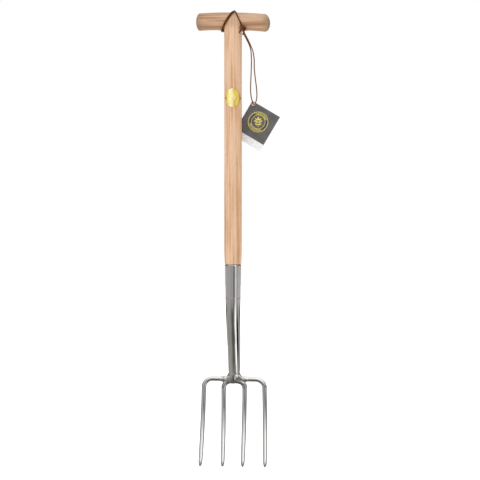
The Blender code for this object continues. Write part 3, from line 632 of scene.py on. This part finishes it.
def add_junction():
    """Neck, welds, bow and crossbars blended into one lumpy fillet, which stands for the two weld solids."""
    joined = bmesh.new()
    for name in JUNCTION_NODES:
        joined.from_mesh(nodes[name].data)
    piece = from_bmesh("weld_fillets", joined, looks["weld"])
    remesh = piece.modifiers.new("blend", "REMESH")
    remesh.mode = "VOXEL"
    remesh.voxel_size = JUNCTION_VOXEL
    applied(piece)
    bm = bmesh.new()
    bm.from_mesh(piece.data)
    planes = (
        (Vector((JUNCTION_HALF_WIDTH, 0, 0)), Vector((1, 0, 0))),
        (Vector((-JUNCTION_HALF_WIDTH, 0, 0)), Vector((-1, 0, 0))),
        (Vector((0, 0, JUNCTION_TOP_Z)), Vector((0, 0, 1))),
        (Vector((0, 0, JUNCTION_FOOT_Z)), Vector((0, 0, -1))),
    )
    for place, outward in planes:
        everything = [*bm.verts, *bm.edges, *bm.faces]
        bmesh.ops.bisect_plane(bm, geom=everything, plane_co=place, plane_no=outward, clear_outer=True)
    for _ in range(JUNCTION_ROUNDS):
        inner = [v for v in bm.verts if not v.is_boundary]
        bmesh.ops.smooth_vert(bm, verts=inner, factor=0.5, use_axis_x=True, use_axis_y=True, use_axis_z=True)
    bm.normal_update()
    moves = []
    for vertex in bm.verts:
        co = vertex.co
        from_top = (JUNCTION_TOP_Z - co.z) * JUNCTION_TOP_SHARE
        edge = min(JUNCTION_HALF_WIDTH - abs(co.x), from_top, co.z - JUNCTION_FOOT_Z)
        share = min(max(edge / JUNCTION_TAPER, 0.0), 1.0)
        lumps = sum(noise.noise(co / size) * height for size, height in JUNCTION_LUMPS)
        moves.append(vertex.normal * (share * (JUNCTION_SWELL + lumps) - (1 - share) * JUNCTION_SINK))
    for vertex, move in zip(bm.verts, moves):
        vertex.co += move
    bmesh.ops.holes_fill(bm, edges=[edge for edge in bm.edges if edge.is_boundary])
    bmesh.ops.recalc_face_normals(bm, faces=bm.faces)
    bm.to_mesh(piece.data)
    bm.free()
    piece.data.shade_smooth()
    piece.data.materials.clear()
    piece.data.materials.append(looks["weld"])
    settle(piece, "fork", "stainless", "weld_left", "weld_right")


add_junction()

# ---------------------------------------------------------------- raised ornament, generic


def raise_leaf(bm, place, start, end, width, height, stations=7):
    """A leaf, or a stem, with a ridge down its middle. Start and end are (u, v) on the surface."""
    along = Vector((end[0] - start[0], end[1] - start[1]))
    side = Vector((-along.y, along.x)).normalized()
    first = bm.verts.new(place(*start, 0))
    last = bm.verts.new(place(*end, 0))
    rows = []
    for i in range(1, stations):
        t = i / stations
        middle = Vector(start) + along * t
        half = width / 2 * math.sin(math.pi * t**0.8) ** 0.8
        left = middle + side * half
        right = middle - side * half
        ridge = place(*middle, height * math.sin(math.pi * t) ** 0.5)
        rows.append([bm.verts.new(place(*left, 0)), bm.verts.new(ridge), bm.verts.new(place(*right, 0))])
    for row, following in zip(rows, rows[1:]):
        for i in range(3):
            j = (i + 1) % 3
            bm.faces.new((row[i], row[j], following[j], following[i]))
    for tip, row in ((first, rows[0]), (last, rows[-1])):
        for i in range(3):
            bm.faces.new((tip, row[i], row[(i + 1) % 3]))


def raise_band(bm, place, centre, inner, outer, height, first=0, last=360, squash=1.0):
    """A raised ring between two radii, or the part of it between two angles in degrees. Squash narrows u."""
    whole = last - first >= 360
    count = max(6, round((last - first) / 6))
    rows = []
    for i in range(count if whole else count + 1):
        angle = math.radians(first + (last - first) * i / count)
        row = []
        for radius, lift in ((inner, 0), (inner, height), (outer, height), (outer, 0)):
            u = centre[0] + radius * math.cos(angle) * squash
            row.append(bm.verts.new(place(u, centre[1] + radius * math.sin(angle), lift)))
        rows.append(row)
    following_rows = rows[1:] + rows[:1] if whole else rows[1:]
    for row, following in zip(rows, following_rows):
        for i in range(4):
            j = (i + 1) % 4
            bm.faces.new((row[i], row[j], following[j], following[i]))
    if not whole:
        bm.faces.new(rows[0])
        bm.faces.new(rows[-1])


def raise_sprig(bm, place, centre, size, height, tilt=0.0):
    """A stem with paired leaves and one at its tip."""
    turn = math.radians(tilt)

    def at(u, v):
        u, v = u * size, v * size
        return (
            centre[0] + u * math.cos(turn) - v * math.sin(turn),
            centre[1] + u * math.sin(turn) + v * math.cos(turn),
        )

    raise_leaf(bm, place, at(0, 1.0), at(0, -0.35), 0.13 * size, height)
    raise_leaf(bm, place, at(0, -0.30), at(0, -1.0), 0.40 * size, height)
    for level, reach, rise in ((0.55, 0.62, 0.30), (0.12, 0.78, 0.42), (-0.22, 0.62, 0.48)):
        for hand in (-1, 1):
            ends = at(0.04 * hand, level), at(reach * hand, level - rise)
            raise_leaf(bm, place, *ends, 0.34 * size, height)


# The oval plate's two rings, the beads between them and the sprig
plate_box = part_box("brass_plate")
PLATE_Z = (plate_box[0][2] + plate_box[1][2]) / 2
PLATE_AZIMUTH = 5.5
PLATE_FACE_RADIUS = 21.3 * MM
PLATE_RELIEF_SUNK = 0.03 * MM
PLATE_HALF_WIDTH = 17.5 * MM
PLATE_HALF_HEIGHT = 21.5 * MM
RING_INSET_ACROSS = 3.6 * MM
RING_INSET_UP = 4.6 * MM
INNER_RING_SHARE = 0.66
BEADS = 30
BEAD_SHARE = 0.83
BEAD_HALF_LENGTH = 1.25 * MM
BEAD_WIDTH = 1.5 * MM
BEAD_HEIGHT = 0.5 * MM
BEADS_HALF_WIDTH = 10.5 * MM
# Half the sprig's length, which is negative because v runs up the plate and the sprig's tip lies at lower v
PLATE_SPRIG = -9.8 * MM
PLATE_SPRIG_HEIGHT = 0.9 * MM


def on_plate(u, v, lift):
    """A place on the plate: u along its face to the right, v upwards, lift outwards."""
    angle = math.radians(PLATE_AZIMUTH) + math.asin(max(min(u / PLATE_FACE_RADIUS, 1.0), -1.0))
    radius = PLATE_FACE_RADIUS - PLATE_RELIEF_SUNK + lift
    return Vector((radius * math.sin(angle), -radius * math.cos(angle), PLATE_Z + v))


def add_plate_relief():
    bm = bmesh.new()
    radius = PLATE_HALF_HEIGHT - RING_INSET_UP
    squash = (PLATE_HALF_WIDTH - RING_INSET_ACROSS) / radius
    inner = radius * INNER_RING_SHARE
    raise_band(bm, on_plate, (0, 0), radius - 0.7 * MM, radius, 0.5 * MM, squash=squash)
    raise_band(bm, on_plate, (0, 0), inner, inner + 0.6 * MM, 0.45 * MM, squash=squash)
    for i in range(BEADS):
        angle = math.tau * (i + 0.5) / BEADS
        outward = Vector((math.cos(angle), math.sin(angle)))
        middle = Vector((outward.x * radius * BEAD_SHARE * squash, outward.y * radius * BEAD_SHARE))
        if abs(middle.x) > BEADS_HALF_WIDTH:
            continue
        out = outward * BEAD_HALF_LENGTH
        ends = tuple(middle - out), tuple(middle + out)
        raise_leaf(bm, on_plate, *ends, BEAD_WIDTH, BEAD_HEIGHT, stations=5)
    raise_sprig(bm, on_plate, (0, 0), PLATE_SPRIG, PLATE_SPRIG_HEIGHT)
    settle(from_bmesh("plate_relief", bm, looks["relief"], smooth=False), "fork", "brass")


add_plate_relief()

# The tag: a foil emblem on the dark card and faint lines of print on the white one
FACE_DEPTH = 0.1 * MM


def card_frame(name):
    """The top corner of a card's front face, and the directions of its top and left edges."""
    points = [vertex.co for vertex in nodes[name].data.vertices]
    front = min(point.y for point in points)
    face = [point for point in points if point.y < front + FACE_DEPTH]
    top = max(face, key=lambda point: point.z)
    right = max(face, key=lambda point: point.x)
    left = min(face, key=lambda point: point.x)
    return top.copy(), (right - top).normalized(), (left - top).normalized()


def on_card(name, sunk):
    """Places on a card's face: u and v from its top corner, lift outwards."""
    corner, along, down = card_frame(name)

    def place(u, v, lift):
        return corner + along * u + down * v + Vector((0, sunk - lift, 0))

    return place


EMBLEM_CENTRE = (36.8 * MM, 35.4 * MM)
EMBLEM_SUNK = 0.02 * MM
FOIL = 0.10 * MM
# Inner and outer radius, in mm, of the emblem's rings, of the line under its leaves and of its dark arcs
EMBLEM_RINGS = ((22.8, 23.8), (21.3, 21.7), (15.6, 16.5))
LEAF_LINE = (16.9, 17.5)
DARK_ARC = (17.4, 20.8)
# Middle and half extent, in degrees, of its two rows of leaves and its two dark arcs
LEAF_ROWS = ((-90, 47), (90, 50))
DARK_ARCS = ((0, 36), (180, 36))
LEAVES = 13
LEAF_FOOT = 17.9 * MM
LEAF_TIP = 20.9 * MM
LEAF_WIDTH = 1.8 * MM
EMBLEM_SPRIG = 13.2 * MM
EMBLEM_TILT = -30


def raise_ring(bm, place, radii, height, *angles):
    raise_band(bm, place, EMBLEM_CENTRE, radii[0] * MM, radii[1] * MM, height, *angles)


def add_emblem():
    """Foil rings, leaves and a sprig, and two dark arcs between the rings."""
    centre = Vector(EMBLEM_CENTRE)
    place = on_card("tag_front_card", EMBLEM_SUNK)
    bm = bmesh.new()
    for radii in EMBLEM_RINGS:
        raise_ring(bm, place, radii, FOIL)
    for middle, reach in LEAF_ROWS:
        raise_ring(bm, place, LEAF_LINE, FOIL, middle - reach, middle + reach)
        for i in range(LEAVES):
            angle = math.radians(middle + reach * (2 * (i + 0.5) / LEAVES - 1))
            spoke = Vector((math.cos(angle), math.sin(angle)))
            start = tuple(centre + spoke * LEAF_FOOT)
            end = tuple(centre + spoke * LEAF_TIP)
            raise_leaf(bm, place, start, end, LEAF_WIDTH, FOIL, stations=4)
    raise_sprig(bm, place, EMBLEM_CENTRE, EMBLEM_SPRIG, FOIL, tilt=EMBLEM_TILT)
    settle(from_bmesh("tag_emblem", bm, looks["foil"], smooth=False), "front_card", "brass")
    bm = bmesh.new()
    for middle, reach in DARK_ARCS:
        raise_ring(bm, place, DARK_ARC, FOIL / 2, middle - reach, middle + reach)
    settle(from_bmesh("tag_emblem_arcs", bm, looks["ink"], smooth=False), "front_card", "dark_card")


# Rows of print, down the white card, with their dashes' lengths and gaps, all in mm
PRINT_ROWS = (79.0, 82.2, 85.4)
PRINT_LEFT = 9.0
PRINT_RIGHT = 50.0
DASH_LENGTHS = (2.0, 6.5)
DASH_GAPS = (0.7, 1.6)
DASH_WIDTH = 1.3 * MM
INK = 0.04 * MM
INK_SUNK = 0.01 * MM


def add_print():
    """Plain dashes in rows, which are no letters."""
    bm = bmesh.new()
    place = on_card("tag_back_card", INK_SUNK)
    for v in PRINT_ROWS:
        u = PRINT_LEFT
        while u < PRINT_RIGHT:
            length = random.uniform(*DASH_LENGTHS)
            raise_leaf(bm, place, (u * MM, v * MM), ((u + length) * MM, v * MM), DASH_WIDTH, INK, stations=4)
            u += length + random.uniform(*DASH_GAPS)
    settle(from_bmesh("tag_print", bm, looks["print"], smooth=False), "tag", "dark_card")


add_emblem()
add_print()

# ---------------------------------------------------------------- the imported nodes


def dress_nodes():
    for name, node in nodes.items():
        if name == "lace":
            continue
        node.data.materials.clear()
        node.data.materials.append(looks["weld" if name.startswith("weld") else slots[name]])


# Each round node, its body, and the sharpest edge in degrees that is shaded smooth
SMOOTH_COPIES = (
    ("t_grip", "fork", 38),
    ("shaft", "fork", 38),
    ("socket_tube", "fork", 15),
    ("neck_forging", "fork", 18),
    ("inner_tine_bow", "fork", 36),
    ("outer_tine_left", "fork", 36),
    ("outer_tine_right", "fork", 36),
    ("socket_rivet", "fork", 30),
    ("brass_plate", "fork", 30),
    ("plate_pin_left", "fork", 38),
    ("plate_pin_right", "fork", 38),
    ("eyelet", "tag", 38),
    ("eyelet_washer", "tag", 38),
)


def add_smooth_copies():
    """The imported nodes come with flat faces, so a copy with smooth shading shows each round one."""
    for name, body, degrees in SMOOTH_COPIES:
        bm = welded_copy(name)
        for edge in bm.edges:
            edge.smooth = edge.calc_face_angle(math.pi) < math.radians(degrees)
        settle(from_bmesh(name + "_surface", bm, looks[slots[name]]), body, slots[name], name)


# Height and radius in mm of the seam over the joint of socket and neck: down its outer side, up its inner
SEAM = (
    (-638.2, 17.48),
    (-639.2, 17.64),
    (-640.2, 17.67),
    (-641.2, 17.60),
    (-642.4, 17.36),
    (-641.2, 16.60),
    (-639.2, 16.60),
)
SEAM_SIDES = 72


def add_seam():
    """A thin ring that covers the gap between socket and neck."""
    bm = bmesh.new()
    rings = []
    for height, radius in SEAM:
        ring = []
        for step in range(SEAM_SIDES):
            angle = math.tau * step / SEAM_SIDES
            corner = Vector((math.cos(angle) * radius, math.sin(angle) * radius, height))
            ring.append(bm.verts.new(corner * MM))
        rings.append(ring)
    for lower, upper in zip(rings, rings[1:] + rings[:1]):
        for i in range(SEAM_SIDES):
            j = (i + 1) % SEAM_SIDES
            bm.faces.new((lower[i], lower[j], upper[j], upper[i]))
    settle(from_bmesh("socket_seam", bm, looks["stainless"]), "fork", "stainless")


dress_nodes()
add_smooth_copies()
add_seam()

# ---------------------------------------------------------------- stage and light

FLOOR_Z = -1.07
FLOOR_HALF_SIZE = 14


def add_floor():
    """A pale floor that polished steel doesn't mirror, because the studio map holds its light."""
    look = Look("floor")
    speckle = look.noise(look.place(), 3, detail=2)
    tone = look.ramp(speckle, (0.3, 0.93), (0.7, 0.96))
    look.finish(Base_Color=tone, Roughness=0.9, Emission_Color=(1, 1, 1, 1), Emission_Strength=0.35)
    bm = bmesh.new()
    bmesh.ops.create_grid(bm, x_segments=2, y_segments=2, size=FLOOR_HALF_SIZE)
    mesh = bpy.data.meshes.new("floor")
    bm.to_mesh(mesh)
    bm.free()
    floor = bpy.data.objects.new("floor", mesh)
    floor.location.z = FLOOR_Z
    floor.visible_glossy = False
    mesh.materials.append(look.material)
    scene.collection.objects.link(floor)


# What polished steel sees round it, as stops of (degrees to the right of the camera's side, (r, g, b)):
# one map for the fork's own level, one for below it, one for just above it and one for higher up
STUDIO_LEVEL = (
    (-180, (0.45, 0.45, 0.46)),
    (-140, (0.50, 0.49, 0.49)),
    (-110, (0.52, 0.51, 0.50)),
    (-75, (0.45, 0.43, 0.42)),
    (-60, (0.50, 0.48, 0.47)),
    (-30, (0.42, 0.41, 0.40)),
    (-12, (0.38, 0.37, 0.37)),
    (0, (0.46, 0.45, 0.45)),
    (8, (0.15, 0.15, 0.16)),
    (20, (0.17, 0.17, 0.19)),
    (28, (0.48, 0.48, 0.52)),
    (36, (0.90, 0.90, 0.98)),
    (46, (0.86, 0.86, 0.94)),
    (54, (0.50, 0.49, 0.50)),
    (68, (0.43, 0.41, 0.40)),
    (84, (0.60, 0.58, 0.56)),
    (110, (0.58, 0.57, 0.57)),
    (180, (0.45, 0.45, 0.46)),
)
STUDIO_LOW = (
    (-180, (0.75, 0.74, 0.73)),
    (-128, (0.52, 0.50, 0.49)),
    (-97, (0.33, 0.31, 0.30)),
    (-66, (0.40, 0.385, 0.37)),
    (-42, (0.34, 0.325, 0.31)),
    (-28, (0.20, 0.19, 0.18)),
    (-18, (0.12, 0.115, 0.105)),
    (-4, (0.13, 0.125, 0.115)),
    (8, (0.22, 0.21, 0.20)),
    (20, (0.20, 0.20, 0.19)),
    (28, (1.45, 1.45, 1.43)),
    (50, (1.50, 1.50, 1.48)),
    (58, (0.010, 0.009, 0.008)),
    (86, (0.012, 0.011, 0.010)),
    (97, (0.15, 0.14, 0.135)),
    (112, (0.75, 0.72, 0.70)),
    (144, (1.0, 1.0, 1.0)),
    (180, (0.75, 0.74, 0.73)),
)
STUDIO_HIGH = (
    (-180, (0.06, 0.06, 0.06)),
    (-100, (0.12, 0.12, 0.12)),
    (-75, (0.30, 0.29, 0.29)),
    (-40, (0.66, 0.65, 0.65)),
    (-18, (0.42, 0.42, 0.42)),
    (-4, (0.17, 0.165, 0.17)),
    (16, (0.17, 0.165, 0.17)),
    (36, (0.36, 0.36, 0.38)),
    (66, (0.30, 0.29, 0.29)),
    (100, (0.05, 0.05, 0.05)),
    (180, (0.06, 0.06, 0.06)),
)
STUDIO_TOP = (
    (-180, (0.45, 0.45, 0.45)),
    (-130, (0.20, 0.20, 0.20)),
    (-95, (0.30, 0.30, 0.30)),
    (-60, (0.80, 0.79, 0.79)),
    (-15, (1.00, 1.00, 1.00)),
    (18, (1.60, 1.60, 1.60)),
    (52, (1.10, 1.10, 1.10)),
    (90, (0.25, 0.25, 0.25)),
    (130, (0.20, 0.20, 0.20)),
    (180, (0.45, 0.45, 0.45)),
)


# Elevations in degrees over which one map gives way to the next
LEVEL_TO_LOW = (-5, -22)
LEVEL_TO_HIGH = (-1.5, 3.0)
HIGH_TO_TOP = (7.0, 21.0)
# A dark line low behind the fork: degrees away from the camera's side, then the edges of its elevations
RIM_AWAY = (100, 118)
RIM_ELEVATIONS = ((-9.8, -8.8), (-5.2, -6.2))
# A grey card left of the camera: stops of (degrees, strength), then the edges of its elevations
CARD_STOPS = ((-22, 0.0), (-16, 1.0), (-7, 1.0), (-2, 0.0))
CARD_ELEVATIONS = ((-17, -12), (6, 1))
# The bright ceiling, and a dark belt far below
CEILING = (30, 48)
BELT_ELEVATIONS = ((-62, -56), (-34, -40))


def add_world():
    """The studio: white for the camera, its maps for polished metal and a soft gradient for the rest."""
    world = bpy.data.worlds.new("studio")
    scene.world = world
    world.use_nodes = True
    world.node_tree.nodes.clear()
    build = Graph(world.node_tree)
    direction = build.add("ShaderNodeTexCoord").outputs["Generated"]
    turned = build.add("ShaderNodeVectorRotate", direction, rotation_type="Z_AXIS")
    turned.inputs["Angle"].default_value = -math.radians(CAMERA_YAW)
    x, y, z = build.axes(turned.outputs[0])
    azimuth = build.math("ARCTAN2", x, build.math("MULTIPLY", y, -1.0))
    place = build.math("MULTIPLY_ADD", azimuth, 1 / math.tau, 0.5)
    elevation = build.math("MULTIPLY_ADD", build.math("ARCSINE", z), 1 / math.pi, 0.5)

    def around(stops):
        """A ramp round the horizon, from stops in degrees."""
        return build.ramp(place, *[(degrees / 360 + 0.5, value) for degrees, value in stops])

    def between(first, last):
        """0 at the first elevation in degrees and 1 at the last."""
        rising = (first / 180 + 0.5, 0.0), (last / 180 + 0.5, 1.0)
        falling = (last / 180 + 0.5, 1.0), (first / 180 + 0.5, 0.0)
        return build.ramp(elevation, *(rising if last > first else falling))

    def within(lower, upper):
        return build.math("MULTIPLY", between(*lower), between(*upper))

    seen = build.mix(between(*LEVEL_TO_LOW), around(STUDIO_LEVEL), around(STUDIO_LOW))
    seen = build.mix(between(*LEVEL_TO_HIGH), seen, around(STUDIO_HIGH))
    seen = build.mix(between(*HIGH_TO_TOP), seen, around(STUDIO_TOP))
    away = build.math("DIVIDE", build.math("ABSOLUTE", azimuth), math.pi)
    rim = build.ramp(away, (RIM_AWAY[0] / 180, 0.0), (RIM_AWAY[1] / 180, 1.0))
    seen = build.mix(build.math("MULTIPLY", rim, within(*RIM_ELEVATIONS)), seen, (0.06, 0.06, 0.06))
    grey_card = build.math("MULTIPLY", around(CARD_STOPS), within(*CARD_ELEVATIONS))
    seen = build.mix(build.math("MULTIPLY", grey_card, 0.5), seen, (0.48, 0.47, 0.46))
    seen = build.mix(build.math("MULTIPLY", between(*CEILING), 0.6), seen, (1.75, 1.75, 1.75))
    seen = build.mix(build.math("MULTIPLY", within(*BELT_ELEVATIONS), 0.8), seen, (0.10, 0.10, 0.10))
    side = build.math("MULTIPLY_ADD", x, 0.5, 0.5)
    tint = build.ramp(side, (0.0, (1.16, 1.18, 1.22)), (0.5, (0.95, 0.94, 0.93)), (1.0, (0.66, 0.62, 0.59)))
    from_above = build.math("MULTIPLY_ADD", z, 0.30, 1.0)
    soft = build.mix(1.0, tint, from_above, blend="MULTIPLY")
    path = build.add("ShaderNodeLightPath").outputs
    glossy = build.add("ShaderNodeBackground", seen, 1.0).outputs[0]
    diffuse = build.add("ShaderNodeBackground", soft, 1.0).outputs[0]
    white = build.add("ShaderNodeBackground", (1, 1, 1, 1), 1.0).outputs[0]
    mixed = build.add("ShaderNodeMixShader", path["Is Glossy Ray"], diffuse, glossy).outputs[0]
    mixed = build.add("ShaderNodeMixShader", path["Is Camera Ray"], mixed, white).outputs[0]
    build.add("ShaderNodeOutputWorld", mixed)


add_floor()
add_world()
scene.view_settings.view_transform = "Standard"
